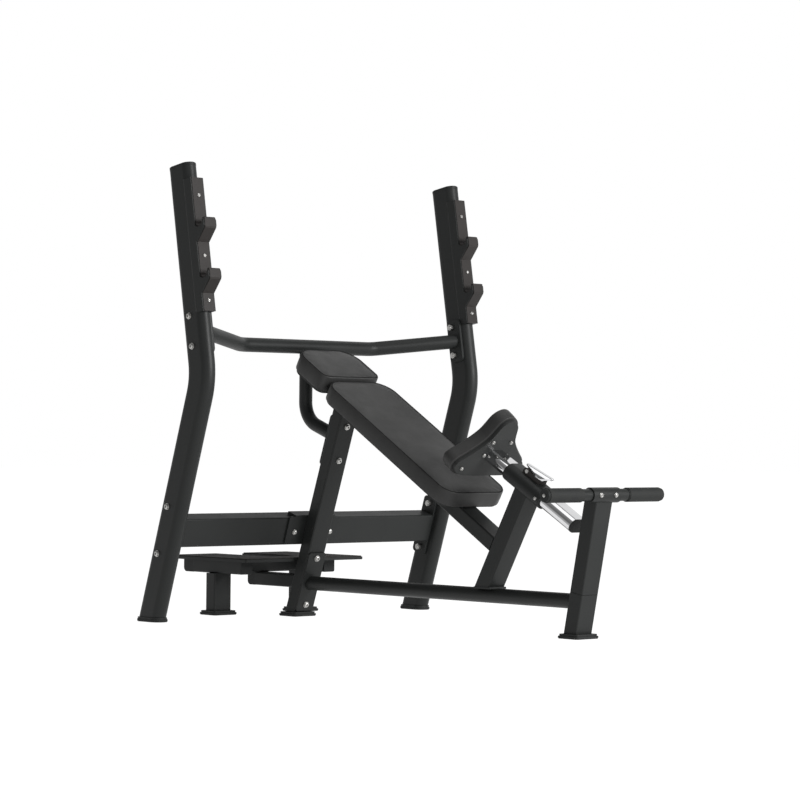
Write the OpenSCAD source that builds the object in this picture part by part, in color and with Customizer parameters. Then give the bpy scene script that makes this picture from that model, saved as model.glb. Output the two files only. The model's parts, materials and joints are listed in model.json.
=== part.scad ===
// Incline bench press station with a sliding seat, built from separate welded, bolted and padded pieces.
// Millimetres, +Z up, -Y towards the foot end, X across. The floor is z = 0.

/* [Uprights] */
// Distance between the two upright centre planes
upright_gap = 1120; // [1060:10:1200]
// Width of the flat-oval upright tube across the bench
oval_w = 50; // [40:1:60]
// Length of the flat-oval upright tube fore and aft
oval_l = 100; // [80:1:120]
// Forward lean of the lower part of the upright, degrees
lean_low = 17.8; // [14:0.1:22]
// Backward lean of the upper part of the upright, degrees
lean_up = 9.6; // [6:0.1:14]
// Height of the bend in the upright
elbow_z = 754; // [700:1:800]
// Height of the top of the upright cap on its centre line
upright_top = 1414; // [1300:1:1500]
// Centre-line radius of the upright bend
upright_bend_r = 225; // [180:5:320]
// Wall of every frame tube
wall = 3; // [2:0.5:5]

/* [Frame tubes] */
// Width of the rectangular posts across the bench
post_w = 70; // [60:1:80]
// Depth of the rectangular posts
post_d = 46; // [40:1:60]
// Forward lean of the main leg, degrees
leg_lean = 19; // [14:0.1:22]
// Forward lean of the middle post, degrees
mid_lean = 29; // [25:0.5:33]
// Forward lean of the front post, degrees
front_lean = 11.4; // [8:0.1:15]
// Diameter of the round base tube
base_d = 45; // [38:0.5:60]
// Height of the base tube centre above the floor
base_z = 108; // [90:1:130]
// Diameter of the bowed upper crossbar
bow_d = 46; // [36:0.5:50]
// How far the upper crossbar bows backwards
bow_depth = 135; // [100:1:170]
// Diameter of the tie tube between the crossbar and the main leg
tie_d = 43; // [32:0.5:44]

/* [Pads] */
// Incline of the back pad, degrees
incline = 31; // [25:0.5:35]
// Length of the back pad
back_len = 665; // [600:1:720]
// Width of the back pad
back_w = 266; // [240:1:300]
// Thickness of the back pad
back_t = 51; // [40:1:60]
// Length of the head pad
head_len = 180; // [150:1:220]
// Width of the head pad
head_w = 244; // [220:1:280]
// Thickness of the head pad
head_t = 56; // [44:1:64]
// Thickness of the seat pad
seat_t = 46; // [38:1:60]
// Tilt of the seat board above the horizontal, degrees
seat_tilt = 52; // [45:1:60]

/* [Seat slide] */
// Downward angle of the seat slide, degrees
slide_angle = 30; // [26:0.5:34]
// Width of the chrome slide tube
slide_w = 72; // [60:1:80]
// Height of the chrome slide tube
slide_h = 44; // [36:1:50]
// Gap between the slide tube and its liners
slide_gap = 0.3; // [0.2:0.05:0.5]

/* [Foot bar] */
// Half length of the foot bar over its grips
bar_half = 243; // [220:1:260]
// Diameter of the foot bar tube
bar_d = 36; // [30:1:40]
// Diameter of the grips
grip_d = 42; // [38:1:50]
// Length of each grip
grip_len = 145; // [110:1:160]

/* [Platform] */
// Half width of the spotter platform
deck_half = 250; // [200:1:300]
// Height of the tread above the floor
deck_z = 190; // [160:1:230]
// Half width of the notch in the back of the platform
notch_half = 57; // [40:1:120]

/* [Hidden] */
ys = 551.5;
ux = upright_gap / 2;
foot_y = 4;
elbow_y = foot_y - elbow_z * tan(lean_low);
floor_t = 14;
pad_h = 8;
// gap left at a butt joint between tube lengths
seam = 0.01;
up_len = (upright_top - elbow_z) / cos(lean_up);
bend_t = upright_bend_r * tan((lean_low + lean_up) / 2);
cap_h = 10;
flange_t = 8;
inner_x = ux - oval_w / 2;
// lower crossbar
xb_y = -76;
xb_z = 287;
xb_h = 88;
xb_d = 58;
xb_bolt = 77;
// upper crossbar flange centre and tube end
bow_y = -206;
bow_z = 899;
bow_bolt = 47;
bow_mid = 278;
bow_r = 80;
bow_ang = atan(bow_depth / (inner_x - flange_t - bow_mid));
bow_t = bow_r * tan(bow_ang / 2);
// the bow itself slopes a little more than its flanges
bow_tilt = 12.6;
bow_tube_z = bow_z - 0.5;
bow_mid_y = bow_y + bow_depth * cos(bow_tilt);
bow_mid_z = bow_tube_z - bow_depth * sin(bow_tilt);
// tie tube bend
tie_ang = 70;
tie_r = 80;
tie_t = tie_r * tan(tie_ang / 2);
tie_y = bow_mid_y + 3;
tie_z = 636;
// main leg centre line at the floor
leg_y0 = -37.5;
// back frame tube: a point on its centre line, and the ends along it
fr_y = -844;
fr_z = 335;
fr_top = -700;
pad_lift = 29;
back_t0 = -679;
head_t0 = -866;
// middle post reference, and the local faces of the two deeper posts
mid_y = -994.5;
mid_z = 258;
mid_back = 31;
front_back = 27;
// front post centre line at the floor
front_y0 = -1288;
// foot bar centre
bar_y = -1385;
bar_z = 420;
tee_d = 44.5;
tee_half = 58;
// seat slide reference point on its axis
sl_y = -1056.5;
sl_z = 459.9;
sleeve_w = 84;
sleeve_h = 56;
sleeve_wall = 3;
sleeve_top = -42;
sleeve_end = 122;
screw_s = 110;
slide_top = -150;
slide_end = 264;
seat_y = -893;
seat_z = 468;
board_t = 12;
// lever pivot and plunger in slide axes
piv_s = 20;
piv_n = 39;
pin_s = 56;
// platform
plat_x = 176;
plat_y = 148;
deck_front = -80;
deck_back = 310;
deck_t = 12;
notch_front = 35;
rail_h = 43;
rail_end = 250;
boot_len = 50;
spine_h = 43;
spine_end = 148;
// hooks: distance along the upper upright from the bend to each lip top
hook_w = [483, 324];
plate_lo = 199;
plate_hi = 616;

steel = [0.07, 0.075, 0.075];
vinyl = [0.12, 0.12, 0.12];
rubber = [0.03, 0.03, 0.03];
polymer = [0.05, 0.048, 0.045];
chrome = [0.8, 0.8, 0.82];
zinc = [0.7, 0.7, 0.7];

module slot2d(w, l) {
  square([w, l - w], center = true);
  for (s = [-1, 1]) {
    translate([0, s * (l - w) / 2]) circle(d = w, $fn = 64);
  }
}

module box2d(w, l, r) {
  square([w, l - 2 * r], center = true);
  square([w - 2 * r, l], center = true);
  for (i = [-1, 1]) {
    for (j = [-1, 1]) {
      translate([i * (w / 2 - r), j * (l / 2 - r)]) circle(r = r, $fn = 32);
    }
  }
}

// Pad outline, its head end towards +y.
module pad2d(w, l, r_head, r_foot) {
  for (e = [[1, r_head], [-1, r_foot]]) {
    translate([0, e[0] * (l / 2 - e[1]) / 2]) square([w, l / 2 - e[1]], center = true);
    translate([0, e[0] * l / 4]) square([w - 2 * e[1], l / 2], center = true);
    for (i = [-1, 1]) {
      translate([i * (w / 2 - e[1]), e[0] * (l / 2 - e[1])]) circle(r = e[1], $fn = 64);
    }
  }
}

// Local z leans towards the foot end by a degrees, local y points to the head end.
module lean(y, z, a) {
  translate([0, y + ys, z]) rotate([a, 0, 0]) children();
}

// Local z runs down towards the foot end at a degrees, local y is the upward normal.
module slope(y, z, a) {
  translate([0, y + ys, z]) rotate([90 + a, 0, 0]) children();
}

module post_solid(h) {
  linear_extrude(h) box2d(post_w, post_d, 5);
}

module post_tube(h, d = post_d) {
  linear_extrude(h) difference() {
    box2d(post_w, d, 5);
    box2d(post_w - 2 * wall, d - 2 * wall, 2.5);
  }
}

module above(z) {
  translate([-1500, -3000, z]) cube([3000, 6000, 3000]);
}

module below(z) {
  translate([-1500, -3000, z - 500]) cube([3000, 6000, 500]);
}

// Button head bolt along +z, its washer on z = 0 and its shank below.
module bolt(shank, d) {
  difference() {
    union() {
      cylinder(h = 2, d = 1.7 * d, $fn = 40);
      translate([0, 0, 2]) cylinder(h = 0.32 * d, d = 1.4 * d, $fn = 40);
      translate([0, 0, 2 + 0.32 * d]) cylinder(h = 0.15 * d, d1 = 1.4 * d, d2 = 0.95 * d, $fn = 40);
    }
    translate([0, 0, 2 + 0.15 * d]) cylinder(h = d, d = 0.62 * d, $fn = 6);
  }
  translate([0, 0, -shank]) cylinder(h = shank, d = d, $fn = 32);
}

// Bolt with a nut closing on a stack of the given thickness.
module through_bolt(stack, d) {
  bolt(stack + d, d);
  translate([0, 0, -stack - 0.8 * d]) cylinder(h = 0.8 * d, d = 1.75 * d, $fn = 6);
}

// ---- uprights ----

module oval_wall(grow, hollow) {
  difference() {
    slot2d(oval_w + 2 * grow, oval_l + 2 * grow);
    if (hollow) slot2d(oval_w - 2 * wall, oval_l - 2 * wall);
  }
}

module upright_path(grow, hollow) {
  low = elbow_z / cos(lean_low) + 40;
  lean(elbow_y, elbow_z, lean_low) translate([0, 0, -low]) linear_extrude(low - bend_t)
    oval_wall(grow, hollow);
  lean(elbow_y, elbow_z, -lean_up) translate([0, 0, bend_t])
    linear_extrude(up_len - cap_h - bend_t) oval_wall(grow, hollow);
  cy = elbow_y + ys + bend_t * sin(lean_up) + upright_bend_r * cos(lean_up);
  cz = elbow_z + bend_t * cos(lean_up) - upright_bend_r * sin(lean_up);
  multmatrix([[0, 0, 1, 0], [-1, 0, 0, cy], [0, -1, 0, cz], [0, 0, 0, 1]])
    rotate([0, 0, -lean_up]) rotate_extrude(angle = lean_low + lean_up, $fn = 96)
    translate([upright_bend_r, 0]) rotate([0, 0, 90]) oval_wall(grow, hollow);
}

module upright(side) {
  color(steel) difference() {
    translate([side * ux, 0, 0]) upright_path(0, true);
    below(floor_t);
    translate([side * ux, 0, 0]) upright_holes(12.6);
  }
}

module upright_holes(d) {
  for (s = [-1, 1]) {
    lean(xb_y, xb_z, lean_low) translate([-60, 0, s * xb_bolt]) rotate([0, 90, 0])
      cylinder(h = 120, d = d, $fn = 32);
    lean(bow_y, bow_z, -lean_up) translate([-60, 0, s * bow_bolt]) rotate([0, 90, 0])
      cylinder(h = 120, d = d, $fn = 32);
  }
}

module upright_caps() {
  color(rubber) for (side = [-1, 1]) {
    translate([side * ux, 0, 0]) lean(elbow_y, elbow_z, -lean_up) {
      translate([0, 0, up_len - cap_h]) linear_extrude(cap_h - 3) slot2d(oval_w + 1, oval_l + 1);
      translate([0, 0, up_len - 3]) linear_extrude(1.5) slot2d(oval_w - 2, oval_l - 2);
      translate([0, 0, up_len - 1.5]) linear_extrude(1.5) slot2d(oval_w - 7, oval_l - 7);
      translate([0, 0, up_len - cap_h - 18]) linear_extrude(18)
        slot2d(oval_w - 2 * wall - 0.4, oval_l - 2 * wall - 0.4);
    }
  }
}

// ---- welded foot plates and rubber feet ----

module foot_plates() {
  color(steel) {
    for (side = [-1, 1]) {
      translate([side * ux, ys + 1, pad_h]) linear_extrude(floor_t - pad_h) slot2d(58, 112);
      translate([side * plat_x, 0, 0]) foot_plate(ys + plat_y);
    }
    foot_plate(ys + leg_y0 - 4);
    foot_plate(ys + front_y0 - 3);
  }
}

module foot_plate(y) {
  translate([0, y, pad_h]) linear_extrude(floor_t - pad_h) box2d(90, 75, 8);
}

module rubber_feet() {
  color(rubber) {
    for (side = [-1, 1]) {
      translate([side * ux, ys + 1, 2]) linear_extrude(pad_h - 2) slot2d(62, 116);
      translate([side * ux, ys + 1, 0]) linear_extrude(2) slot2d(58, 112);
      translate([side * plat_x, 0, 0]) foot_pad(ys + plat_y);
    }
    foot_pad(ys + leg_y0 - 4);
    foot_pad(ys + front_y0 - 3);
  }
}

module foot_pad(y) {
  translate([0, y, 2]) linear_extrude(pad_h - 2) box2d(97, 82, 10);
  translate([0, y, 0]) linear_extrude(2) box2d(93, 78, 8);
}

// ---- bar hooks, drawn in the upper upright axes: x across, y backwards, z along the tube ----

function cheek_pts(w) = [[-61, w - 70], [-101, w - 33], [-104, w - 26], [-104, w - 8], [-101, w - 5],
  [-97, w - 8], [-95, w - 20], [-88, w - 25], [-70, w - 25], [-61, w - 19]];

function catch_pts(w) = [[-56, w - 73], [-62.5, w - 70], [-104, w - 34], [-106, w - 29], [-106, w - 3],
  [-103, w], [-97, w], [-94, w - 3], [-94, w - 14], [-89, w - 20], [-78, w - 23], [-67, w - 20],
  [-62.5, w - 13], [-62.5, w + 10], [-56, w + 10]];

module side_profile(pts, w) {
  rotate([90, 0, 90]) translate([0, 0, -w / 2]) linear_extrude(w) polygon(pts);
}

module hook_channel(side) {
  color(steel) translate([side * ux, 0, 0]) difference() {
    lean(elbow_y, elbow_z, -lean_up) difference() {
      union() {
        side_profile([[-61, plate_lo], [-61, plate_hi], [-25, plate_hi], [-25, plate_lo]], oval_w);
        for (w = hook_w) side_profile(cheek_pts(w), oval_w);
      }
      translate([-21, -140, plate_lo - 1]) cube([42, 84, plate_hi - plate_lo + 2]);
      linear_extrude(900) slot2d(oval_w, oval_l);
      catch_screw_holes(6.4, 9);
    }
  }
}

module catch_screw_holes(d, h) {
  for (w = [560, 371, 232]) {
    translate([0, -63, w]) rotate([-90, 0, 0]) cylinder(h = h, d = d, $fn = 24);
  }
}

module bar_catch(side) {
  color(polymer) translate([side * ux, 0, 0]) lean(elbow_y, elbow_z, -lean_up) difference() {
    union() {
      side_profile([[-62.5, plate_lo], [-62.5, plate_hi], [-56, plate_hi], [-56, plate_lo]], 41.8);
      for (w = hook_w) side_profile(catch_pts(w), 41.8);
    }
    catch_screw_holes(6.4, 9);
  }
}

module catch_screws() {
  color(zinc) for (side = [-1, 1]) {
    translate([side * ux, 0, 0]) lean(elbow_y, elbow_z, -lean_up) for (w = [560, 371, 232]) {
      translate([0, -62.5, w]) rotate([90, 0, 0]) bolt(8, 6);
    }
  }
}

// ---- crossbars ----

module ring2d(d, thick) {
  difference() {
    circle(d = d, $fn = 64);
    circle(d = d - 2 * thick, $fn = 64);
  }
}

module upper_crossbar() {
  half = inner_x - flange_t;
  leg = (half - bow_mid) / cos(bow_ang);
  color(steel) lean(bow_y, bow_tube_z, -bow_tilt) {
    translate([0, bow_depth, 0]) rotate([0, 90, 0])
      linear_extrude(2 * (bow_mid - bow_t - seam), center = true) ring2d(bow_d, 2.5);
    for (s = [-1, 1]) {
      translate([s * (bow_mid - bow_t), bow_depth - bow_r, 0]) rotate([0, 0, s > 0 ? 90 - bow_ang : 90])
        rotate_extrude(angle = bow_ang, $fn = 96) translate([bow_r, 0]) ring2d(bow_d, 2.5);
      intersection() {
        translate([s * bow_mid, bow_depth, 0]) rotate([0, 0, -s * bow_ang]) rotate([0, s * 90, 0])
          translate([0, 0, bow_t + seam]) linear_extrude(leg + 20 - bow_t) ring2d(bow_d, 2.5);
        translate([-half, -100, -100]) cube([2 * half, 400, 200]);
      }
    }
  }
}

module upper_flanges() {
  color(steel) for (s = [-1, 1]) {
    translate([s * (inner_x - flange_t / 2), 0, 0]) lean(bow_y, bow_z, -lean_up) difference() {
      translate([0, -9, 0]) rotate([0, 90, 0]) linear_extrude(flange_t, center = true) box2d(140, 58, 14);
      for (k = [-1, 1]) {
        translate([0, 0, k * bow_bolt]) rotate([0, 90, 0])
          cylinder(h = 20, d = 12.6, center = true, $fn = 32);
      }
    }
  }
}

module lower_crossbar() {
  len = 2 * (inner_x - flange_t);
  color(steel) lean(xb_y, xb_z, lean_low) difference() {
    translate([0, 0, -2.5]) rotate([0, 90, 0]) linear_extrude(len, center = true) difference() {
      box2d(xb_h + 5, xb_d, 6);
      box2d(xb_h + 5 - 2 * wall, xb_d - 2 * wall, 3);
    }
    for (s = [-1, 1]) {
      translate([s * 75, -xb_d / 2 - 1, -3]) rotate([-90, 0, 0]) cylinder(h = 8, d = 10.6, $fn = 32);
    }
  }
}

module lower_flanges() {
  color(steel) for (s = [-1, 1]) {
    translate([s * (inner_x - flange_t / 2), 0, 0]) lean(xb_y, xb_z, lean_low) difference() {
      rotate([0, 90, 0]) linear_extrude(flange_t, center = true) box2d(196, 58, 12);
      for (k = [-1, 1]) {
        translate([0, 0, k * xb_bolt]) rotate([0, 90, 0])
          cylinder(h = 20, d = 12.6, center = true, $fn = 32);
      }
    }
  }
}

module upright_bolts() {
  stack = oval_w + flange_t;
  color(zinc) for (side = [-1, 1]) {
    for (k = [-1, 1]) {
      translate([side * (ux + oval_w / 2), 0, 0]) lean(xb_y, xb_z, lean_low)
        translate([0, 0, k * xb_bolt]) rotate([0, side * 90, 0]) through_bolt(stack, 12);
      translate([side * (ux + oval_w / 2), 0, 0]) lean(bow_y, bow_z, -lean_up)
        translate([0, 0, k * bow_bolt]) rotate([0, side * 90, 0]) through_bolt(stack, 12);
    }
  }
}

module crossbar_saddle() {
  color(steel) difference() {
    lean(xb_y, xb_z, lean_low) difference() {
      union() {
        translate([0, -xb_d / 2, 3]) rotate([90, 0, 0]) linear_extrude(6) box2d(212, 92, 8);
        translate([-84, -xb_d / 2 - 6, xb_h / 2]) cube([168, 40, 10]);
      }
      for (s = [-1, 1]) {
        translate([s * 75, -xb_d / 2 - 10, -3]) rotate([-90, 0, 0]) cylinder(h = 12, d = 10.6, $fn = 32);
      }
    }
    leg_axis() post_solid(700);
  }
}

module saddle_bolts() {
  color(zinc) lean(xb_y, xb_z, lean_low) for (s = [-1, 1]) {
    translate([s * 75, -xb_d / 2 - 6, -3]) rotate([90, 0, 0]) bolt(14, 10);
  }
}

// ---- main leg, tie tube and back frame ----

module leg_axis() {
  lean(leg_y0, 0, leg_lean) children();
}

module fr_axis() {
  slope(fr_y, fr_z, incline) children();
}

module leg_holes(d) {
  for (z = [619, 511, 198, 47]) {
    translate([0, -60, z / cos(leg_lean)]) rotate([-90, 0, 0]) cylinder(h = 120, d = d, $fn = 32);
  }
}

module main_leg() {
  color(steel) difference() {
    leg_axis() difference() {
      post_tube(760);
      leg_holes(12.6);
    }
    below(floor_t);
    fr_axis() translate([-200, -post_d / 2, -1000]) cube([400, 400, 2000]);
  }
}

module leg_bolts() {
  color(zinc) leg_axis() {
    for (z = [619, 511]) {
      translate([0, -post_d / 2, z / cos(leg_lean)]) rotate([90, 0, 0])
        through_bolt(post_d + flange_t, 12);
    }
    for (z = [198, 47]) {
      translate([0, -post_d / 2 - 6, z / cos(leg_lean)]) rotate([90, 0, 0]) bolt(post_d + 6 + 4, 12);
    }
  }
}

module tie_tube() {
  color(steel) {
    difference() {
      translate([0, tie_y + ys, tie_z + tie_t]) linear_extrude(bow_mid_z - tie_z - tie_t) ring2d(tie_d, 2.5);
      lean(bow_y, bow_tube_z, -bow_tilt) translate([0, bow_depth, 0]) rotate([0, 90, 0])
        cylinder(h = 200, d = bow_d, center = true, $fn = 64);
    }
    multmatrix([[0, 0, 1, 0], [1, 0, 0, tie_y + ys - tie_r], [0, 1, 0, tie_z + tie_t], [0, 0, 0, 1]])
      rotate([0, 0, -tie_ang]) rotate_extrude(angle = tie_ang, $fn = 96)
      translate([tie_r, 0]) ring2d(tie_d, 2.5);
    difference() {
      slope(tie_y, tie_z, 90 - tie_ang) translate([0, 0, tie_t]) linear_extrude(100) ring2d(tie_d, 2.5);
      leg_axis() translate([-100, -400, 0]) cube([200, 400 + post_d / 2 + flange_t, 900]);
    }
  }
}

module tie_flange() {
  color(steel) leg_axis() difference() {
    translate([0, post_d / 2 + flange_t, 594]) rotate([90, 0, 0]) linear_extrude(flange_t) box2d(62, 168, 10);
    leg_holes(12.6);
  }
}

module back_frame() {
  color(steel) difference() {
    fr_axis() translate([0, 0, fr_top]) post_tube(1000);
    lean(mid_y, mid_z, mid_lean) translate([-100, -400, -400]) cube([200, 400 + mid_back, 800]);
  }
}

module back_frame_cap() {
  color(rubber) fr_axis() {
    translate([0, 0, fr_top - 4]) linear_extrude(4) box2d(post_w, post_d, 5);
    translate([0, 0, fr_top]) linear_extrude(14) box2d(post_w - 2 * wall - 0.4, post_d - 2 * wall - 0.4, 2.3);
  }
}

// ---- pads: drawn along the back frame, x across, y up from the tube, z towards the foot ----

module pad_plate() {
  color(steel) fr_axis() difference() {
    translate([0, post_d / 2, -835]) rotate([-90, 0, 0]) translate([0, -395, 0]) linear_extrude(6)
      box2d(112, 790, 12);
    pad_holes(8.6);
  }
}

module pad_holes(d) {
  for (t = [-825, -745, -620, -340, -80]) {
    for (s = [-1, 1]) {
      translate([s * 45, 0, t]) rotate([-90, 0, 0]) cylinder(h = 44, d = d, $fn = 24);
    }
  }
}

module back_board() {
  color(rubber) fr_axis() difference() {
    translate([0, pad_lift, back_t0 + back_len / 2]) rotate([-90, 0, 0]) linear_extrude(6)
      pad2d(back_w - 16, back_len - 16, 56, 42);
    pad_holes(8.6);
  }
}

module back_pad() {
  color(vinyl) fr_axis() translate([0, pad_lift + 6, back_t0 + back_len / 2]) rotate([-90, 0, 0])
    linear_extrude(back_t) pad2d(back_w, back_len, 66, 52);
}

module head_board() {
  color(rubber) fr_axis() difference() {
    translate([0, pad_lift, head_t0 + head_len / 2]) rotate([-90, 0, 0]) linear_extrude(9)
      pad2d(head_w - 16, head_len - 16, 58, 22);
    pad_holes(8.6);
  }
}

module head_pad() {
  color(vinyl) fr_axis() translate([0, pad_lift + 9, head_t0 + head_len / 2]) rotate([-90, 0, 0])
    linear_extrude(head_t) pad2d(head_w, head_len, 68, 30);
}

module pad_screws() {
  color(zinc) fr_axis() {
    for (t = [-825, -745, -620, -340, -80]) {
      for (s = [-1, 1]) {
        translate([s * 45, post_d / 2, t]) rotate([90, 0, 0]) bolt(t < -700 ? 15 : 12, 8);
      }
    }
  }
}

// ---- base, middle post and front post ----

module base_tube() {
  color(steel) difference() {
    translate([0, ys - 60, base_z]) rotate([90, 0, 0]) difference() {
      cylinder(h = 1400, d = base_d, $fn = 64);
      translate([0, 0, -1]) cylinder(h = 1402, d = base_d - 2 * wall, $fn = 64);
    }
    leg_axis() translate([-100, -post_d / 2 - 6, -50]) cube([200, 400, 500]);
    lean(front_y0, 0, front_lean) translate([-100, -500, -50]) cube([200, 500 + front_back, 500]);
  }
}

module base_flange() {
  color(steel) leg_axis() difference() {
    translate([0, -post_d / 2, 127]) rotate([90, 0, 0]) linear_extrude(6) box2d(post_w, 200, 8);
    leg_holes(12.6);
  }
}

module mid_post() {
  color(steel) {
    difference() {
      lean(mid_y, mid_z, mid_lean) translate([0, (mid_back - post_d / 2) / 2, -260])
        post_tube(520, mid_back + post_d / 2);
      below(base_z + base_d / 2 + 4);
      slope(sl_y, sl_z, slide_angle) {
        translate([-100, -10, -400]) cube([200, 200, 800]);
        linear_extrude(800, center = true) flat2d(sleeve_w, sleeve_h);
      }
    }
    difference() {
      translate([0, ys + mid_y + (mid_z - base_z - base_d / 2) * tan(mid_lean), base_z + base_d / 2 - 2])
        linear_extrude(6) box2d(post_w + 4, post_d + 26, 6);
      translate([0, ys - 60, base_z]) rotate([90, 0, 0]) cylinder(h = 1400, d = base_d, $fn = 64);
    }
  }
}

module front_post() {
  color(steel) difference() {
    lean(front_y0, 0, front_lean) {
      difference() {
        translate([0, (front_back - post_d / 2) / 2, 0]) post_tube(470, front_back + post_d / 2);
        translate([-50, -50, 135]) cube([100, 100, 1.2]);
      }
      translate([0, (front_back - post_d / 2) / 2, 120]) linear_extrude(30)
        box2d(post_w - 2 * wall, front_back + post_d / 2 - 2 * wall, 2.5);
    }
    below(floor_t);
    above(bar_z - 18);
    translate([0, ys + bar_y, bar_z]) rotate([0, 90, 0])
      cylinder(h = 200, d = tee_d, center = true, $fn = 64);
  }
}

// ---- foot bar ----

module at_bar() {
  translate([0, ys + bar_y, bar_z]) rotate([0, 90, 0]) children();
}

module tee_sleeve() {
  color(steel) difference() {
    at_bar() difference() {
      cylinder(h = 2 * tee_half, d = tee_d, center = true, $fn = 64);
      cylinder(h = 300, d = bar_d + 0.4, center = true, $fn = 64);
    }
    tee_holes(8.6);
  }
}

module tee_holes(d) {
  for (s = [-1, 1]) {
    translate([s * 31, ys + bar_y, bar_z]) rotate([90, 0, 0]) cylinder(h = 60, d = d, $fn = 24);
  }
}

module foot_bar() {
  color(steel) difference() {
    at_bar() difference() {
      cylinder(h = 2 * bar_half - 8, d = bar_d, center = true, $fn = 64);
      cylinder(h = 600, d = bar_d - 5, center = true, $fn = 64);
    }
    tee_holes(8.6);
  }
}

module grip(side) {
  color(rubber) translate([side * (bar_half - 4 - grip_len / 2), 0, 0]) at_bar() difference() {
    union() {
      cylinder(h = grip_len - 8, d = grip_d, center = true, $fn = 64);
      cylinder(h = grip_len, d = grip_d - 3, center = true, $fn = 64);
    }
    cylinder(h = 300, d = bar_d, center = true, $fn = 64);
  }
}

module bar_plugs() {
  color(rubber) for (s = [-1, 1]) {
    translate([s * (bar_half - 4), 0, 0]) at_bar() difference() {
      union() {
        translate([0, 0, s > 0 ? -18 : 0]) cylinder(h = 18, d = bar_d - 5.2, $fn = 48);
        translate([0, 0, s > 0 ? 0 : -4]) cylinder(h = 4, d = bar_d + 2, $fn = 64);
      }
      cylinder(h = 40, d = 6.4, center = true, $fn = 24);
    }
  }
}

module tee_bolts() {
  color(zinc) {
    for (s = [-1, 1]) {
      translate([s * 31, ys + bar_y - tee_d / 2, bar_z]) rotate([90, 0, 0]) bolt(20, 8);
      translate([s * bar_half, ys + bar_y, bar_z]) rotate([0, s * 90, 0]) bolt(12, 6);
    }
  }
}

// ---- spotter platform ----

module spine_tube() {
  color(steel) difference() {
    translate([0, ys + spine_end, deck_z - deck_t - rail_h - spine_h / 2]) rotate([90, 0, 0])
      linear_extrude(spine_end + 124) difference() {
        box2d(46, spine_h, 5);
        box2d(46 - 2 * wall, spine_h - 2 * wall, 2.5);
      }
    leg_axis() translate([-100, -400, -50]) cube([200, 400 + post_d / 2, 700]);
  }
}

module rail(side) {
  color(steel) translate([side * plat_x, ys + rail_end, deck_z - deck_t - rail_h / 2])
    rotate([90, 0, 0]) linear_extrude(rail_end - 9) difference() {
      box2d(46, rail_h, 5);
      box2d(46 - 2 * wall, rail_h - 2 * wall, 2.5);
    }
}

module deck_cross_tube() {
  color(steel) translate([0, ys + plat_y, deck_z - deck_t - rail_h / 2]) rotate([0, 90, 0])
    linear_extrude(2 * plat_x - 46, center = true) difference() {
      box2d(rail_h, 46, 5);
      box2d(rail_h - 2 * wall, 46 - 2 * wall, 2.5);
    }
}

module deck_posts() {
  color(steel) for (s = [-1, 1]) {
    translate([s * plat_x, ys + plat_y, floor_t]) post_tube(deck_z - deck_t - rail_h - floor_t);
  }
}

module deck_outline(o, r) {
  difference() {
    translate([0, ys + (deck_front + deck_back) / 2])
      box2d(2 * deck_half - 2 * o, deck_back - deck_front - 2 * o, r);
    translate([-notch_half - o, ys + notch_front - o]) square([2 * notch_half + 2 * o, 400]);
  }
}

module deck() {
  color(steel) difference() {
    translate([0, 0, deck_z - deck_t]) linear_extrude(deck_t - 3) deck_outline(0, 8);
    translate([0, 0, deck_z - deck_t - 1]) linear_extrude(deck_t - 6) difference() {
      deck_outline(4, 5);
      for (s = [-1, 1]) translate([s * plat_x - 23, ys - 100]) square([46, 500]);
      translate([-plat_x, ys + plat_y - 23]) square([2 * plat_x, 46]);
    }
    leg_axis() translate([-50, -400, -50]) cube([100, 400 + post_d / 2, 700]);
  }
}

module deck_mat() {
  color(rubber) difference() {
    translate([0, 0, deck_z - 3]) linear_extrude(3) deck_outline(3, 6);
    leg_axis() translate([-60, -400, -50]) cube([120, 400 + post_d / 2 + 6, 700]);
  }
}

// End boot along +y with a rounded lower corner, z up from its underside.
module boot(len, h) {
  rotate([90, 0, 90]) linear_extrude(45, center = true) {
    square([len - 14, h]);
    translate([0, 14]) square([len, h - 14]);
    translate([len - 14, 14]) circle(r = 14, $fn = 48);
  }
  translate([0, 0, h / 2]) rotate([90, 0, 0]) linear_extrude(14)
    box2d(46 - 2 * wall - 0.4, h - 2 * wall - 0.4, 2.3);
}

module rail_plugs() {
  z = deck_z - deck_t - rail_h;
  color(rubber) {
    for (s = [-1, 1]) {
      translate([s * plat_x, ys + rail_end, z]) boot(boot_len, rail_h);
      translate([s * plat_x, ys + 9, z + rail_h / 2]) rotate([90, 0, 0]) {
        linear_extrude(4) box2d(45, rail_h - 1, 6);
        translate([0, 0, -12]) linear_extrude(12) box2d(46 - 2 * wall - 0.4, rail_h - 2 * wall - 0.4, 2.3);
      }
    }
    translate([0, ys + spine_end, z - spine_h]) boot(37, spine_h);
  }
}

// ---- seat slide: x across, y up from the axis, z down towards the foot ----

module sl_axis() {
  slope(sl_y, sl_z, slide_angle) children();
}

module flat2d(w, h) {
  rotate([0, 0, 90]) slot2d(h, w);
}

module seat_sleeve() {
  color(steel) sl_axis() difference() {
    translate([0, 0, sleeve_top]) linear_extrude(sleeve_end - sleeve_top) difference() {
      flat2d(sleeve_w, sleeve_h);
      flat2d(sleeve_w - 2 * sleeve_wall, sleeve_h - 2 * sleeve_wall);
    }
    translate([0, 0, pin_s]) rotate([-90, 0, 0]) cylinder(h = 60, d = 11, $fn = 32);
    liner_holes(6);
  }
}

module liner_holes(d) {
  for (s = [-1, 1]) {
    translate([s * (sleeve_w / 2 - 8), 0, screw_s]) rotate([0, s * 90, 0]) cylinder(h = 30, d = d, $fn = 32);
  }
}

module liner_screws() {
  color(zinc) sl_axis() for (s = [-1, 1]) {
    translate([s * sleeve_w / 2, 0, screw_s]) rotate([0, s * 90, 0]) bolt(5, 6);
  }
}

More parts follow.
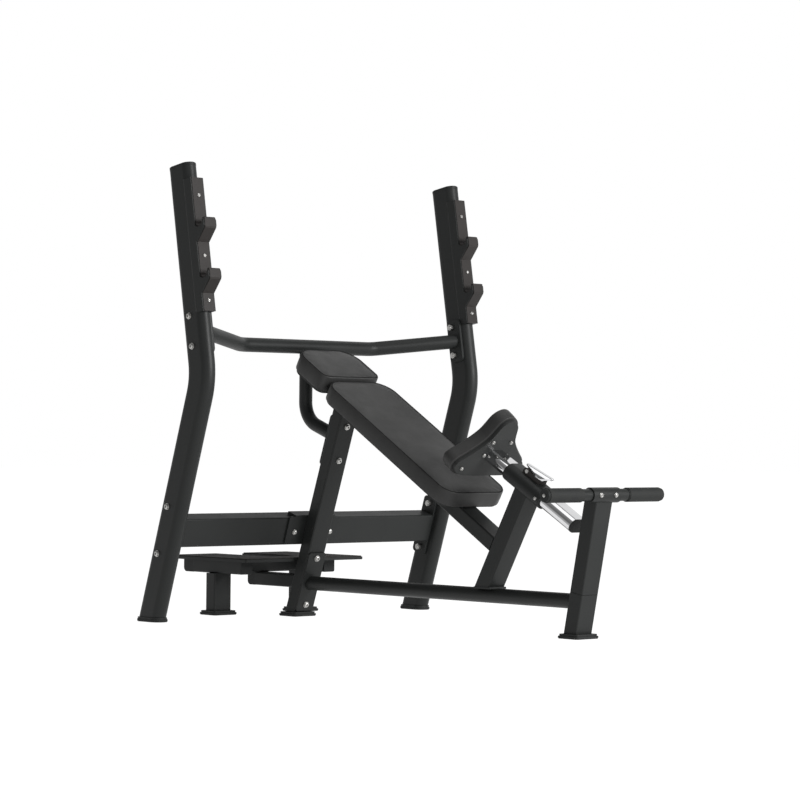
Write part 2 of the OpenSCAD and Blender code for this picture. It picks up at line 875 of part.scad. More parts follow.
module sleeve_liners() {
  inner_w = slide_w + 2 * slide_gap;
  inner_h = slide_h + 2 * slide_gap;
  color(rubber) sl_axis() difference() {
    union() {
      for (z = [sleeve_top, sleeve_end - 24]) {
        translate([0, 0, z]) linear_extrude(24) difference() {
          flat2d(sleeve_w - 2 * sleeve_wall, sleeve_h - 2 * sleeve_wall);
          flat2d(inner_w, inner_h);
        }
      }
      for (z = [sleeve_top - 3, sleeve_end]) {
        translate([0, 0, z]) linear_extrude(3) difference() {
          flat2d(sleeve_w - 1, sleeve_h - 1);
          flat2d(inner_w, inner_h);
        }
      }
    }
    liner_holes(6);
  }
}

// Lever housing: two cheeks and a core, drawn as [height, distance down the slide].
cheek_side = [[20, 4], [38, 4], [45, 8], [47.5, 14], [47, 24], [44, 32], [43, 70], [41, 78], [20, 78]];
core_side = [[24, 34], [41, 34], [43, 38], [43, 74], [41, 78], [24, 78]];

module lever_housing() {
  color(rubber) sl_axis() difference() {
    union() {
      for (s = [-1, 1]) {
        translate([s * 14.6, 0, 0]) rotate([90, 0, 90])
          linear_extrude(4.8, center = true) polygon(cheek_side);
      }
      rotate([90, 0, 90]) linear_extrude(24.6, center = true) polygon(core_side);
    }
    linear_extrude(400, center = true) flat2d(sleeve_w, sleeve_h);
    translate([0, 0, pin_s]) rotate([-90, 0, 0]) cylinder(h = 80, d = 10.1, $fn = 48);
    translate([-30, piv_n, piv_s]) rotate([0, 90, 0]) cylinder(h = 60, d = 6, $fn = 48);
  }
}

module lever_pin() {
  color(zinc) sl_axis() translate([0, piv_n, piv_s]) rotate([0, 90, 0]) {
    cylinder(h = 34, d = 6, center = true, $fn = 48);
    translate([0, 0, 17]) cylinder(h = 3, d = 12, $fn = 48);
    translate([0, 0, -20]) cylinder(h = 3, d = 12, $fn = 48);
  }
}

module seat_slide_tube() {
  color(chrome) difference() {
    sl_axis() translate([0, 0, slide_top]) linear_extrude(slide_end - slide_top) difference() {
      flat2d(slide_w, slide_h);
      flat2d(slide_w - 5, slide_h - 5);
    }
    past_board();
  }
}

module slide_cap() {
  color(rubber) sl_axis() {
    translate([0, 0, slide_end]) linear_extrude(4) flat2d(slide_w - 2, slide_h - 2);
    translate([0, 0, slide_end - 14]) linear_extrude(14) flat2d(slide_w - 5.4, slide_h - 5.4);
  }
}

// Seat board axes: x across, y up along the board, z out of its front face.
module seat_axis() {
  lean(seat_y, seat_z, -seat_tilt) rotate([0, 0, 180]) children();
}

seat_half = [[0, 0], [60, 0], [100, 3], [126, 13], [139, 30], [137, 47], [112, 69], [78, 100],
  [53, 131], [42, 158], [33, 183], [19, 198], [0, 205]];
seat_ring = concat(seat_half, [for (i = [len(seat_half) - 2:-1:1]) [-seat_half[i][0], seat_half[i][1]]]);

function at(p, i) = p[(i + len(p)) % len(p)];

function spline(a, b, c, d, t) = 0.5 * (2 * b + (c - a) * t + (2 * a - 5 * b + 4 * c - d) * t * t
  + (3 * b - a - 3 * c + d) * t * t * t);

function smooth(p) = [for (i = [0:len(p) - 1]) for (t = [0, 0.33, 0.67])
  spline(at(p, i - 1), at(p, i), at(p, i + 1), at(p, i + 2), t)];

function grow(p, g) = [for (i = [0:len(p) - 1]) let (d = at(p, i + 1) - at(p, i - 1))
  at(p, i) + g * [d[1], -d[0]] / norm(d)];

module bracket_plate(h) {
  translate([0, 91, 0]) linear_extrude(h) box2d(108, 92, 10);
}

module past_board() {
  seat_axis() translate([-100, -50, 0]) cube([200, 300, 60]);
}

module seat_bracket() {
  color(steel) seat_axis() difference() {
    bracket_plate(6);
    seat_holes(7.6);
  }
}

module seat_holes(d) {
  for (p = [[109.5, 27], [37, 127], [46.8, 78]]) {
    for (s = [-1, 1]) {
      translate([s * p[0], p[1], -20]) cylinder(h = 20 + board_t, d = d, $fn = 24);
    }
  }
}

module seat_board() {
  color(rubber) seat_axis() difference() {
    linear_extrude(board_t) polygon(smooth(seat_ring));
    translate([0, 0, -1]) bracket_plate(7);
    seat_holes(7.6);
  }
}

module seat_pad() {
  color(vinyl) seat_axis() translate([0, 0, board_t]) linear_extrude(seat_t)
    polygon(grow(smooth(seat_ring), 9));
}

module seat_screws() {
  color(zinc) seat_axis() for (s = [-1, 1]) {
    translate([s * 109.5, 27, 0]) rotate([180, 0, 0]) bolt(board_t, 7);
    translate([s * 37, 127, 0]) rotate([180, 0, 0]) bolt(board_t, 7);
    translate([s * 46.8, 78, 0]) rotate([180, 0, 0]) bolt(board_t, 7);
  }
}

// Lever leaf outline: half width and distance down the slide.
leaf_half = [[0, -3], [8, 2], [13.5, 28], [19, 58], [20.5, 80], [15, 100], [8, 110], [0, 113]];
leaf_ring = concat(leaf_half, [for (i = [len(leaf_half) - 2:-1:1]) [-leaf_half[i][0], leaf_half[i][1]]]);
arm_side = [[39, 12.5], [52, 6], [54.5, 28], [48, 36], [39, 27.5]];

module lever() {
  color(chrome) sl_axis() difference() {
    union() {
      intersection() {
        translate([0, 100, 0]) rotate([90, 0, 0]) linear_extrude(80) polygon(smooth(leaf_ring));
        translate([0, 31.5, 0]) rotate([-6.5, 0, 0]) difference() {
          translate([0, 0, -20]) cylinder(h = 160, r = 22, $fn = 96);
          translate([0, 0, -21]) cylinder(h = 162, r = 19, $fn = 96);
          translate([-30, -40, -22]) cube([60, 45, 164]);
        }
      }
      rotate([90, 0, 90]) linear_extrude(16, center = true) polygon(arm_side);
      translate([-10, piv_n, piv_s]) rotate([0, 90, 0]) cylinder(h = 20, r = 7.5, $fn = 48);
    }
    translate([-20, piv_n, piv_s]) rotate([0, 90, 0]) cylinder(h = 40, d = 6.1, $fn = 48);
  }
}

module lock_plunger() {
  color(zinc) sl_axis() translate([0, 0, pin_s]) rotate([-90, 0, 0]) {
    translate([0, 0, slide_h / 2 + 0.6]) cylinder(h = 26.9, d = 10, $fn = 48);
    translate([0, 0, slide_h / 2 + 24.5]) cylinder(h = 3, d = 14, $fn = 48);
  }
}

upright(-1);  // upright_left
upright(1);  // upright_right
upright_caps();
foot_plates();
rubber_feet();
hook_channel(-1);  // hook_channel_left
hook_channel(1);  // hook_channel_right
bar_catch(-1);  // bar_catch_left
bar_catch(1);  // bar_catch_right
catch_screws();
upper_crossbar();
upper_flanges();
lower_crossbar();
lower_flanges();
upright_bolts();
crossbar_saddle();
saddle_bolts();
main_leg();
leg_bolts();
tie_tube();
tie_flange();
back_frame();
back_frame_cap();
pad_plate();
back_board();
back_pad();
head_board();
head_pad();
pad_screws();
base_tube();
base_flange();
mid_post();
front_post();
tee_sleeve();
foot_bar();
grip(-1);  // grip_left
grip(1);  // grip_right
bar_plugs();
tee_bolts();
spine_tube();
rail(-1);  // rail_left
rail(1);  // rail_right
deck_cross_tube();
deck_posts();
deck();
deck_mat();
rail_plugs();
seat_sleeve();
sleeve_liners();
liner_screws();
lever_housing();
lever_pin();
seat_slide_tube();
slide_cap();
seat_bracket();
seat_board();
seat_pad();
seat_screws();
lever();
lock_plunger();
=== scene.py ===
"""Looks for the incline bench press station: camera, materials, upholstered pads and studio."""

import json
import math

import bmesh
import bpy
import numpy as np
from mathutils import Matrix, Vector
from mathutils.bvhtree import BVHTree


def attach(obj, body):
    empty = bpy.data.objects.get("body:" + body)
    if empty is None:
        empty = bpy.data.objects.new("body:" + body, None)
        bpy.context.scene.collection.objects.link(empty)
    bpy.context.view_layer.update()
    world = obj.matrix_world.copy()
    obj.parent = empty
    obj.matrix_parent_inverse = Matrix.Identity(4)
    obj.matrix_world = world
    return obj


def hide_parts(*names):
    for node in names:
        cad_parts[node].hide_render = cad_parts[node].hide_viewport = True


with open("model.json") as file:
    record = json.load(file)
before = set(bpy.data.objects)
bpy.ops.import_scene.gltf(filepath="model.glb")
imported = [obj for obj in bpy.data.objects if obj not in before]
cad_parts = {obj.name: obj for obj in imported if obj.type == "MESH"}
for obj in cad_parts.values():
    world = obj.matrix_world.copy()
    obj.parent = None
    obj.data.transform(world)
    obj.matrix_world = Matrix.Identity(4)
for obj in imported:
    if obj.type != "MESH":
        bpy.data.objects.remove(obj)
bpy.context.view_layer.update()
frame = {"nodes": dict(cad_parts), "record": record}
scene = bpy.context.scene

# ---- camera ----

camera_spot = (-6.01806, -6.45102, 0.59137)
yaw, pitch, roll = math.radians(42.867), math.radians(0.681), math.radians(0.545)
look = Vector((math.sin(yaw) * math.cos(pitch), math.cos(yaw) * math.cos(pitch), math.sin(pitch)))
side = Vector((math.cos(yaw), -math.sin(yaw), 0.0))
lift = side.cross(look)
right = math.cos(roll) * side + math.sin(roll) * lift
up = math.cos(roll) * lift - math.sin(roll) * side
cam_data = bpy.data.cameras.new("camera")
cam_data.lens = 127.815
cam_data.sensor_width = 36.0
cam_data.clip_end = 60.0
cam = bpy.data.objects.new("camera", cam_data)
scene.collection.objects.link(cam)
turn = Matrix((right, up, -look)).transposed().to_4x4()
cam.matrix_world = Matrix.Translation(camera_spot) @ turn
scene.camera = cam


# ---- materials ----

def shader(name, base, rough, metal=0.0, gloss=0.5):
    """A new material, its node tree, its shader and its object coordinates."""
    mat = bpy.data.materials.new(name)
    mat.use_nodes = True
    tree = mat.node_tree
    bsdf = tree.nodes["Principled BSDF"]
    bsdf.inputs["Base Color"].default_value = (*base, 1.0)
    bsdf.inputs["Roughness"].default_value = rough
    bsdf.inputs["Metallic"].default_value = metal
    bsdf.inputs["Specular IOR Level"].default_value = gloss
    coords = tree.nodes.new("ShaderNodeTexCoord").outputs["Object"]
    return mat, tree, bsdf, coords


def noise(tree, coords, scale, detail=3.0, stretch=None):
    """A cloudy value from 0 to 1, drawn out along an axis where stretch is given."""
    if stretch:
        mapping = tree.nodes.new("ShaderNodeMapping")
        mapping.inputs["Scale"].default_value = stretch
        tree.links.new(coords, mapping.inputs["Vector"])
        coords = mapping.outputs["Vector"]
    node = tree.nodes.new("ShaderNodeTexNoise")
    node.inputs["Scale"].default_value = scale
    node.inputs["Detail"].default_value = detail
    tree.links.new(coords, node.inputs["Vector"])
    return node.outputs["Fac"]


def cells(tree, coords, scale):
    """Distance from the middle of the nearest cell, for pebbled and pimpled surfaces."""
    node = tree.nodes.new("ShaderNodeTexVoronoi")
    node.inputs["Scale"].default_value = scale
    tree.links.new(coords, node.inputs["Vector"])
    return node.outputs["Distance"]


def ramp(tree, value, low, high, start, end):
    """Maps a value from [start, end] to [low, high]."""
    node = tree.nodes.new("ShaderNodeMapRange")
    node.inputs["From Min"].default_value = start
    node.inputs["From Max"].default_value = end
    node.inputs["To Min"].default_value = low
    node.inputs["To Max"].default_value = high
    tree.links.new(value, node.inputs["Value"])
    return node.outputs["Result"]


def blend_colour(tree, factor, a, b):
    """Colour a where the factor is 0 and colour b where it is 1."""
    node = tree.nodes.new("ShaderNodeMix")
    node.data_type = "RGBA"
    node.inputs[6].default_value = (*a, 1.0)
    node.inputs[7].default_value = (*b, 1.0)
    tree.links.new(factor, node.inputs[0])
    return node.outputs[2]


def bump(tree, height, strength, distance, normal=None):
    """A normal tilted by the height, on top of another normal where one is given."""
    node = tree.nodes.new("ShaderNodeBump")
    node.inputs["Strength"].default_value = strength
    node.inputs["Distance"].default_value = distance
    tree.links.new(height, node.inputs["Height"])
    if normal:
        tree.links.new(normal, node.inputs["Normal"])
    return node.outputs["Normal"]


def edge_wear(tree, radius):
    """A rounded-edge normal, and a mask that is 1 along sharp edges."""
    bevel = tree.nodes.new("ShaderNodeBevel")
    bevel.samples = 4
    bevel.inputs["Radius"].default_value = radius
    flat = tree.nodes.new("ShaderNodeNewGeometry").outputs["Normal"]
    dot = tree.nodes.new("ShaderNodeVectorMath")
    dot.operation = "DOT_PRODUCT"
    tree.links.new(bevel.outputs["Normal"], dot.inputs[0])
    tree.links.new(flat, dot.inputs[1])
    return bevel.outputs["Normal"], ramp(tree, dot.outputs["Value"], 1.0, 0.0, 0.80, 0.985)


def coated(name, base, light, rough, grain, worn, depth=0.0002):
    """Powder coat or moulded polymer: cloudy tone, fine texture, edges rubbed a little paler."""
    mat, tree, bsdf, coords = shader(name, base, rough, gloss=0.19)
    normal, edge = edge_wear(tree, 0.0009)
    cloud = noise(tree, coords, 9.0, 4.0)
    speck = noise(tree, coords, 420.0, 2.0)
    mixed = tree.nodes.new("ShaderNodeMath")
    mixed.operation = "MULTIPLY_ADD"
    tree.links.new(speck, mixed.inputs[0])
    mixed.inputs[1].default_value = 0.5
    tree.links.new(ramp(tree, cloud, 0.0, 0.5, 0.3, 0.7), mixed.inputs[2])
    body = blend_colour(tree, mixed.outputs[0], base, light)
    rub = tree.nodes.new("ShaderNodeMath")
    rub.operation = "MULTIPLY"
    tree.links.new(edge, rub.inputs[0])
    tree.links.new(ramp(tree, noise(tree, coords, 60.0, 3.0), 0.0, worn, 0.42, 0.68), rub.inputs[1])
    edged = tree.nodes.new("ShaderNodeMix")
    edged.data_type = "RGBA"
    tree.links.new(rub.outputs[0], edged.inputs[0])
    tree.links.new(body, edged.inputs[6])
    edged.inputs[7].default_value = (*[min(1.0, 2.4 * c + 0.02) for c in light], 1.0)
    tree.links.new(edged.outputs[2], bsdf.inputs["Base Color"])
    tree.links.new(ramp(tree, cloud, rough - 0.05, rough + 0.07, 0.3, 0.7), bsdf.inputs["Roughness"])
    texture = noise(tree, coords, grain, 2.0)
    tree.links.new(bump(tree, texture, 0.35, depth, normal), bsdf.inputs["Normal"])
    return mat


def vinyl_leather(name, base, light, rough):
    """Upholstery vinyl: fine pebbled grain, faint creasing and sheen."""
    mat, tree, bsdf, coords = shader(name, base, rough, gloss=0.31)
    cloud = noise(tree, coords, 14.0, 4.0)
    tone = blend_colour(tree, ramp(tree, cloud, 0.0, 1.0, 0.3, 0.7), base, light)
    tree.links.new(tone, bsdf.inputs["Base Color"])
    tree.links.new(ramp(tree, cloud, rough + 0.05, rough - 0.05, 0.3, 0.7), bsdf.inputs["Roughness"])
    pebble = cells(tree, coords, 620.0)
    crease = noise(tree, coords, 38.0, 5.0)
    first = bump(tree, crease, 0.18, 0.0012)
    tree.links.new(bump(tree, pebble, 0.28, 0.00035, first), bsdf.inputs["Normal"])
    bsdf.inputs["Sheen Weight"].default_value = 0.05
    bsdf.inputs["Sheen Roughness"].default_value = 0.4
    return mat


def metal(name, base, rough, streak, scratch):
    """Plated steel: light smudges in the gloss and fine drawn lines."""
    mat, tree, bsdf, coords = shader(name, base, rough, 1.0)
    normal, edge = edge_wear(tree, 0.0006)
    smudge = noise(tree, coords, 22.0, 5.0)
    tree.links.new(ramp(tree, smudge, rough, rough + streak, 0.35, 0.75), bsdf.inputs["Roughness"])
    dark = [c * 0.9 for c in base]
    tone = blend_colour(tree, ramp(tree, smudge, 0.0, 1.0, 0.3, 0.7), base, dark)
    tree.links.new(tone, bsdf.inputs["Base Color"])
    lines = noise(tree, coords, 90.0, 3.0, (30.0, 1.0, 1.0))
    tree.links.new(bump(tree, lines, scratch, 0.0001, normal), bsdf.inputs["Normal"])
    return mat


def rubbery(name, base, light, rough, pattern, depth):
    """Rubber: matte, dusty in its grain."""
    mat, tree, bsdf, coords = shader(name, base, rough, gloss=0.25)
    dust = noise(tree, coords, 30.0, 5.0)
    tone = blend_colour(tree, ramp(tree, dust, 0.0, 1.0, 0.35, 0.7), base, light)
    tree.links.new(tone, bsdf.inputs["Base Color"])
    tree.links.new(ramp(tree, dust, rough, min(1.0, rough + 0.12), 0.3, 0.7), bsdf.inputs["Roughness"])
    tree.links.new(bump(tree, cells(tree, coords, pattern), 0.5, depth), bsdf.inputs["Normal"])
    return mat


def all_looks():
    """One material for each slot of the record, and two more for the sewing: a near-black welt cord
    whose colour paints the seam groove's shade, and the thread.
    """
    return {
        "powder_coat": coated(
            "powder_coat", (0.0115, 0.0125, 0.0122), (0.0165, 0.0176, 0.0172), 0.42, 900.0, 0.35),
        "vinyl": vinyl_leather("vinyl", (0.0190, 0.0190, 0.0187), (0.0225, 0.0225, 0.0220), 0.52),
        "pad_board": coated(
            "pad_board", (0.018, 0.019, 0.0185), (0.024, 0.025, 0.0245), 0.50, 500.0, 0.3, 0.0003),
        "chrome": metal("chrome", (0.72, 0.72, 0.73), 0.06, 0.08, 0.04),
        "zinc_bolts": metal("zinc_bolts", (0.50, 0.495, 0.48), 0.34, 0.12, 0.10),
        "catch_polymer": coated(
            "catch_polymer", (0.018, 0.016, 0.015), (0.026, 0.023, 0.022), 0.50, 600.0, 0.4),
        "black_polymer": coated(
            "black_polymer", (0.010, 0.011, 0.011), (0.015, 0.016, 0.016), 0.47, 600.0, 0.3),
        "rubber": rubbery("rubber", (0.010, 0.011, 0.011), (0.016, 0.017, 0.016), 0.65, 700.0, 0.0003),
        "tread_rubber": rubbery(
            "tread_rubber", (0.020, 0.018, 0.017), (0.030, 0.028, 0.026), 0.75, 260.0, 0.0008),
        # the welt's near-black colour, far darker than the vinyl, is painted shade standing in for the
        # seam groove's shadow
        "shade_black_welt": rubbery("shade_black_welt", (0.002, 0.002, 0.002), (0.004, 0.004, 0.004), 0.85, 900.0, 0.0001),
        "thread": rubbery("thread", (0.010, 0.010, 0.010), (0.018, 0.018, 0.018), 0.8, 1500.0, 0.0001),
    }


looks = all_looks()
for part in frame["record"]["subparts"]:
    node = frame["nodes"][part["node"]]
    node.data.materials.clear()
    node.data.materials.append(looks[part["material_slot"]])


# ---- upholstered pads ----

outline_pitch = 0.004
seat_middle = 0.078       # a point that sees the seat's whole outline, above its lower edge
crown_room = 0.0025       # the skin's edge lies this far below the CAD pad's face
seam_inset = 0.0048
welt_radius = 0.0018
stitch_inset = 0.0100
stitch_pitch = 0.0050
stitch_half = (0.0016, 0.00042, 0.00038)  # half of a stitch's length, width and height
voxel = 0.0045
pressure = 4.0
last_frame = 20


def local_frame(origin, along, normal):
    """Pad axes as a matrix: x across, y along, z out of the pad's face."""
    x = Vector(along).cross(Vector(normal)).normalized()
    m = Matrix((x, Vector(along).normalized(), Vector(normal).normalized())).transposed().to_4x4()
    return Matrix.Translation(Vector(origin)) @ m


def local_points(obj, axes):
    """The object's vertices in the pad's axes."""
    inv = axes.inverted()
    return np.array([inv @ v.co for v in obj.data.vertices])


def outline_of(node, axes):
    """The CAD pad's outline in its own axes, evenly spaced, and its bottom and top."""
    pts = local_points(frame["nodes"][node], axes)
    low, high = pts[:, 2].min(), pts[:, 2].max()
    rim = np.unique(np.round(pts[pts[:, 2] > high - 1e-4][:, :2], 5), axis=0)
    middle = (rim.min(axis=0) + rim.max(axis=0)) / 2
    if node == "seat_pad":
        middle[1] = rim[:, 1].min() + seat_middle
    rim = rim[np.argsort(np.arctan2(rim[:, 1] - middle[1], rim[:, 0] - middle[0]))]
    return resample(rim, outline_pitch), low, high


def resample(rim, pitch):
    """The closed ring again, with its points one pitch apart."""
    closed = np.vstack([rim, rim[:1]])
    run = np.concatenate([[0], np.cumsum(np.linalg.norm(np.diff(closed, axis=0), axis=1))])
    count = int(round(run[-1] / pitch))
    at = np.linspace(0, run[-1], count, endpoint=False)
    return np.stack([np.interp(at, run, closed[:, k]) for k in (0, 1)], axis=1)


def tangents(ring):
    """Unit direction of travel at each point of a closed ring."""
    ahead = np.roll(ring, -1, axis=0) - np.roll(ring, 1, axis=0)
    return ahead / np.linalg.norm(ahead, axis=1)[:, None]


def inset(rim, d):
    """The ring moved inwards by d."""
    t = tangents(rim)
    return rim + d * np.stack([-t[:, 1], t[:, 0]], axis=1)


def towards_middle(ring, share):
    """The ring drawn in by a share of the way to the panel's middle line."""
    low, high = ring.min(axis=0), ring.max(axis=0)
    middle, half = (low + high) / 2, (high - low) / 2
    core = half - half.min()
    return ring + share * (np.clip(ring - middle, -core, core) + middle - ring)


def level_ring(rim, z):
    """The flat ring as points in space, at one height or at a height for each point."""
    return np.column_stack([rim, z * np.ones(len(rim))])


def new_object(name, verts, faces, axes=None):
    mesh = bpy.data.meshes.new(name)
    mesh.from_pydata([tuple(v) for v in verts], [], faces)
    if axes:
        mesh.transform(axes)
    mesh.update()
    obj = bpy.data.objects.new(name, mesh)
    scene.collection.objects.link(obj)
    return obj


def band(first, second, n):
    """Quads between two closed loops of n vertices, given by their first vertices."""
    return [[first + i, first + (i + 1) % n, second + (i + 1) % n, second + i] for i in range(n)]


def loft(name, rings, axes):
    """A closed skin through rings of equal length, capped at both ends."""
    n = len(rings[0])
    verts = [p for ring in rings for p in ring]
    faces = [quad for k in range(len(rings) - 1) for quad in band(k * n, (k + 1) * n, n)]
    faces.append(list(reversed(range(n))))
    faces.append([(len(rings) - 1) * n + i for i in range(n)])
    return new_object(name, verts, faces, axes)


def cord_ring(name, ring, z, radius, axes):
    """A welt: a thin round cord laid along a closed ring at height z."""
    n, sides = len(ring), 8
    verts, faces = [], []
    for p, t in zip(ring, tangents(ring)):
        for k in range(sides):
            a = 2 * math.pi * k / sides
            out = radius * math.cos(a)
            verts.append((p[0] - t[1] * out, p[1] + t[0] * out, z + radius * math.sin(a)))
    for i in range(n):
        faces += band(i * sides, (i + 1) % n * sides, sides)
    return new_object(name, verts, faces, axes)


def stitches(name, ring, z, axes):
    """A row of short sewn loops along a ring, each a small rounded bar half sunk in the skin."""
    length, width, height = stitch_half
    sides = 6
    stations = ((-1.0, 0.15), (-0.6, 0.85), (0.6, 0.85), (1.0, 0.15))  # place along, and girth
    verts, faces = [], []
    for p, t, h in zip(ring, tangents(ring), z):
        first = len(verts)
        for along, girth in stations:
            for k in range(sides):
                a = 2 * math.pi * k / sides
                w, u = width * girth * math.cos(a), height * girth * math.sin(a)
                x = p[0] + t[0] * length * along - t[1] * w
                y = p[1] + t[1] * length * along + t[0] * w
                verts.append((x, y, h + u))
        last = first + (len(stations) - 1) * sides
        for start in range(first, last, sides):
            faces += band(start, start + sides, sides)
        faces.append([first + k for k in range(sides)])
        faces.append([last + k for k in reversed(range(sides))])
    return new_object(name, verts, faces, axes)


def finish_mesh(obj, look, smooth=True):
    """Outward normals, shading and material."""
    bm = bmesh.new()
    bm.from_mesh(obj.data)
    bmesh.ops.recalc_face_normals(bm, faces=bm.faces)
    bm.to_mesh(obj.data)
    bm.free()
    obj.data.polygons.foreach_set("use_smooth", [smooth] * len(obj.data.polygons))
    obj.data.materials.clear()
    obj.data.materials.append(look)


def apply_modifiers(obj):
    graph = bpy.context.evaluated_depsgraph_get()
    mesh = bpy.data.meshes.new_from_object(obj.evaluated_get(graph))
    obj.modifiers.clear()
    obj.data = mesh


def distance_to(points, rim):
    """Distance in plan from each point to the outline."""
    best = np.full(len(points), 1e9)
    for p, q in zip(rim, np.roll(rim, -1, axis=0)):
        d = q - p
        t = np.clip(((points - p) @ d) / max(d @ d, 1e-12), 0, 1)
        best = np.minimum(best, np.linalg.norm(points - (p + t[:, None] * d), axis=1))
    return best


def swell(obj, axes, rim, low, top):
    """Blows the pad up as cloth under pressure, then limits how far each point has moved."""
    rest = local_points(obj, axes)
    held = obj.vertex_groups.new(name="held")
    for i in np.nonzero(rest[:, 2] < low + 0.004)[0]:
        held.add([int(i)], 1.0, "REPLACE")
    cloth = obj.modifiers.new("cloth", "CLOTH")
    cloth.settings.quality = 5
    cloth.settings.mass = 0.3
    cloth.settings.tension_stiffness = 20
    cloth.settings.compression_stiffness = 20
    cloth.settings.bending_stiffness = 0.6
    cloth.settings.use_pressure = True
    cloth.settings.uniform_pressure_force = pressure
    cloth.settings.vertex_group_mass = "held"
    cloth.settings.effector_weights.gravity = 0.0
    cloth.collision_settings.use_collision = False
    cloth.collision_settings.use_self_collision = False
    cloth.point_cache.frame_start = 1
    cloth.point_cache.frame_end = last_frame
    for f in range(1, last_frame + 1):
        scene.frame_set(f)
    apply_modifiers(obj)
    scene.frame_set(1)
    step = local_points(obj, axes) - rest
    far = np.linalg.norm(step, axis=1)
    # the cap: most in the middle of the face, and least at its edge and on the side walls
    crown = 0.0004 + 0.0022 * np.clip(distance_to(rest[:, :2], rim) / 0.055, 0, 1) ** 0.7
    wall = 0.0010 * np.sin(np.pi * np.clip((rest[:, 2] - low) / (top - low), 0, 1))
    on_top = np.clip((rest[:, 2] - (top - 0.004)) / 0.003, 0, 1)
    most = on_top * crown + (1 - on_top) * wall
    place = rest + step * np.minimum(1.0, most / np.maximum(far, 1e-9))[:, None]
    for v, p in zip(obj.data.vertices, place):
        v.co = axes @ Vector(p)


def inflated(node, axes, rim, low, top):
    """The pad as a blown-up cloth skin, from which the sewn skin takes its heights."""
    rows = [(0.0050, low), (0.0014, low + 0.0040), (0.0014, top - 0.0040), (0.0050, top)]
    skin = loft(node + "_inflated", [level_ring(inset(rim, d), z) for d, z in rows], axes)
    remesh = skin.modifiers.new("remesh", "REMESH")
    remesh.mode = "VOXEL"
    remesh.voxel_size = voxel
    apply_modifiers(skin)
    swell(skin, axes, rim, low, top)
    return skin


def heights(obj, axes, ring, top):
    """Height of the skin over each point of a ring."""
    tree = BVHTree.FromObject(obj, bpy.context.evaluated_depsgraph_get())
    down = -(axes.to_3x3() @ Vector((0, 0, 1)))
    inv = axes.inverted()
    out = []
    for p in ring:
        hit = tree.ray_cast(axes @ Vector((p[0], p[1], top + 0.05)), down)[0]
        out.append((inv @ hit).z if hit else top)
    return np.array(out)


def sewn_skin(node, axes, rim, low, top):
    """The side panel, the seam's groove and the crowned top panel as one skin."""
    sides = [(0.0034, low + 0.0003), (0.0016, low + 0.0010), (0.0010, low + 0.0030),
             (0.0005, (low + top) / 2),
             (0.0010, top - 0.0040), (0.0016, top - 0.0018), (0.0028, top - 0.0005),
             (0.0038, top - 0.0001)]
    groove = [(seam_inset - 0.0005, top - 0.0009), (seam_inset, top - 0.0015),
              (seam_inset + 0.0006, top - 0.0009), (seam_inset + 0.0016, top)]
    rings = [level_ring(inset(rim, d), z) for d, z in sides + groove]
    panel = inset(rim, 0.0095)
    shares = (0.0, 0.04, 0.10, 0.18, 0.28, 0.40, 0.54, 0.70, 0.86, 0.96)
    tops = [towards_middle(panel, share) for share in shares]
    skin = inflated(node, axes, rim, low, top)
    rings += [level_ring(ring, heights(skin, axes, ring, top)) for ring in tops]
    bpy.data.objects.remove(skin)
    return loft(node + "_upholstery", rings, axes)


def upholster(node, body, axes):
    """Replaces a plain CAD pad with a sewn, slightly crowned one, its welt cord coloured near-black as
    painted seam shade, and its stitches.
    """
    rim, low, high = outline_of(node, axes)
    top = high - crown_room
    pad = sewn_skin(node, axes, rim, low, top)
    finish_mesh(pad, looks["vinyl"])
    # the cord gives the welt its shape; its near-black material paints the shade along the seam
    shade_black_welt = cord_ring(node + "_welt", inset(rim, seam_inset), top - 0.0005, welt_radius, axes)
    finish_mesh(shade_black_welt, looks["shade_black_welt"])
    row = resample(inset(rim, stitch_inset), stitch_pitch)
    thread = stitches(node + "_stitching", row, heights(pad, axes, row, top) + 0.0001, axes)
    finish_mesh(thread, looks["thread"])
    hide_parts(node)
    for piece in (pad, shade_black_welt, thread):
        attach(piece, body)


# the back rises towards the rear, and the seat board rises towards the front
slant = math.radians(31.0)
back_along = (0, math.cos(slant), math.sin(slant))
back_normal = (0, -math.sin(slant), math.cos(slant))
back_axes = local_frame((0, -0.2925, 0.335), back_along, back_normal)
tilt = math.radians(52.0)
seat_along = (0, -math.cos(tilt), math.sin(tilt))
seat_normal = (0, math.sin(tilt), math.cos(tilt))
seat_axes = local_frame((0, -0.3415, 0.468), seat_along, seat_normal)
upholster("back_pad", "frame", back_axes)
upholster("head_pad", "frame", back_axes)
upholster("seat_pad", "seat", seat_axes)

# ---- studio ----

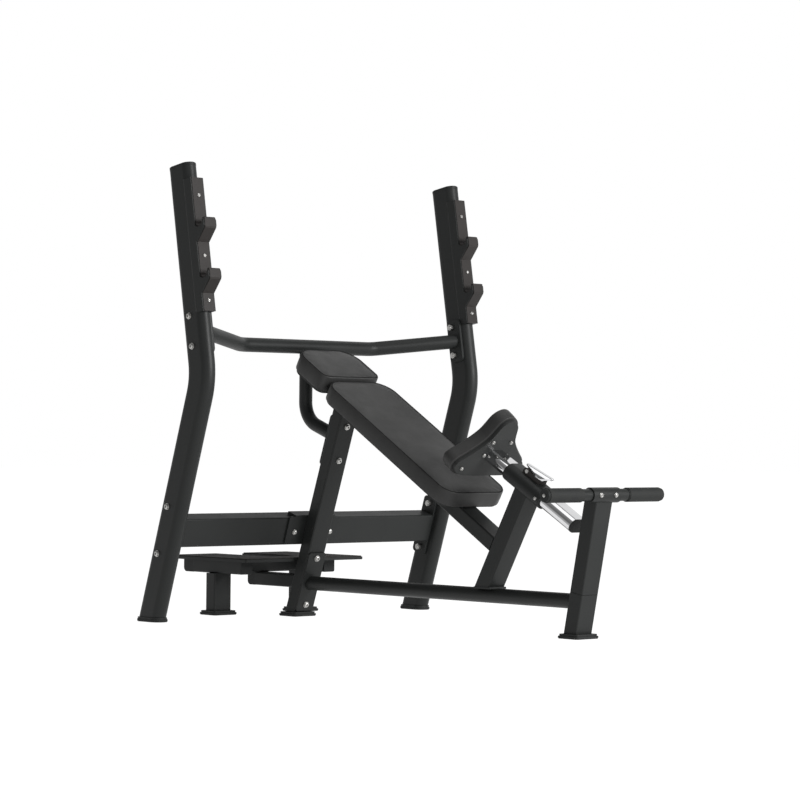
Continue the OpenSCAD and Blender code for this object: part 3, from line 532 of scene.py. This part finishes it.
floor_half = 30.0
corners = [(x * floor_half, y * floor_half, 0) for x, y in ((-1, -1), (1, -1), (1, 1), (-1, 1))]
floor = new_object("floor", corners, [[0, 1, 2, 3]])
pale = shader("pale_floor", (0.12, 0.12, 0.12), 0.9, gloss=0.1)[0]
glow = pale.node_tree.nodes["Principled BSDF"]
glow.inputs["Emission Color"].default_value = (1.0, 1.0, 1.0, 1.0)
glow.inputs["Emission Strength"].default_value = 0.97
finish_mesh(floor, pale, smooth=False)

# a white room all round at eye level, greyer overhead and away to the rear left
world = bpy.data.worlds.new("studio")
world.use_nodes = True
sky = world.node_tree
direction = sky.nodes.new("ShaderNodeTexCoord").outputs["Generated"]
height = sky.nodes.new("ShaderNodeSeparateXYZ")
sky.links.new(direction, height.inputs[0])
overhead = ramp(sky, height.outputs["Z"], 1.0, 0.32, 0.16, 0.42)
rear_left = sky.nodes.new("ShaderNodeVectorMath")
rear_left.operation = "DOT_PRODUCT"
sky.links.new(direction, rear_left.inputs[0])
rear_left.inputs[1].default_value = (-0.68, 0.73, 0.0)
shade = sky.nodes.new("ShaderNodeMath")
shade.operation = "MULTIPLY"
sky.links.new(overhead, shade.inputs[0])
sky.links.new(ramp(sky, rear_left.outputs["Value"], 1.0, 0.5, 0.25, 0.8), shade.inputs[1])
white = blend_colour(sky, shade.outputs[0], (0.0, 0.0, 0.0), (1.0, 1.0, 1.0))
sky.links.new(white, sky.nodes["Background"].inputs["Color"])
scene.world = world
scene.view_settings.view_transform = "Standard"


def softbox(name, spot, target, size, power):
    """A rectangular lamp at a spot, facing a target."""
    data = bpy.data.lights.new(name, "AREA")
    data.shape = "RECTANGLE"
    data.size, data.size_y = size
    data.energy = power
    lamp = bpy.data.objects.new(name, data)
    scene.collection.objects.link(lamp)
    lamp.location = spot
    lamp.rotation_mode = "QUATERNION"
    lamp.rotation_quaternion = (Vector(target) - Vector(spot)).to_track_quat("-Z", "Y")


softbox("key", (1.6, -5.6, 2.4), (0, 0, 0.6), (2.6, 2.2), 400)
softbox("overhead", (0.0, -0.6, 4.2), (0, 0, 0.4), (3.0, 3.0), 32)
softbox("far", (3.4, 1.8, 3.6), (0, 0, 0.6), (3.0, 3.0), 18)
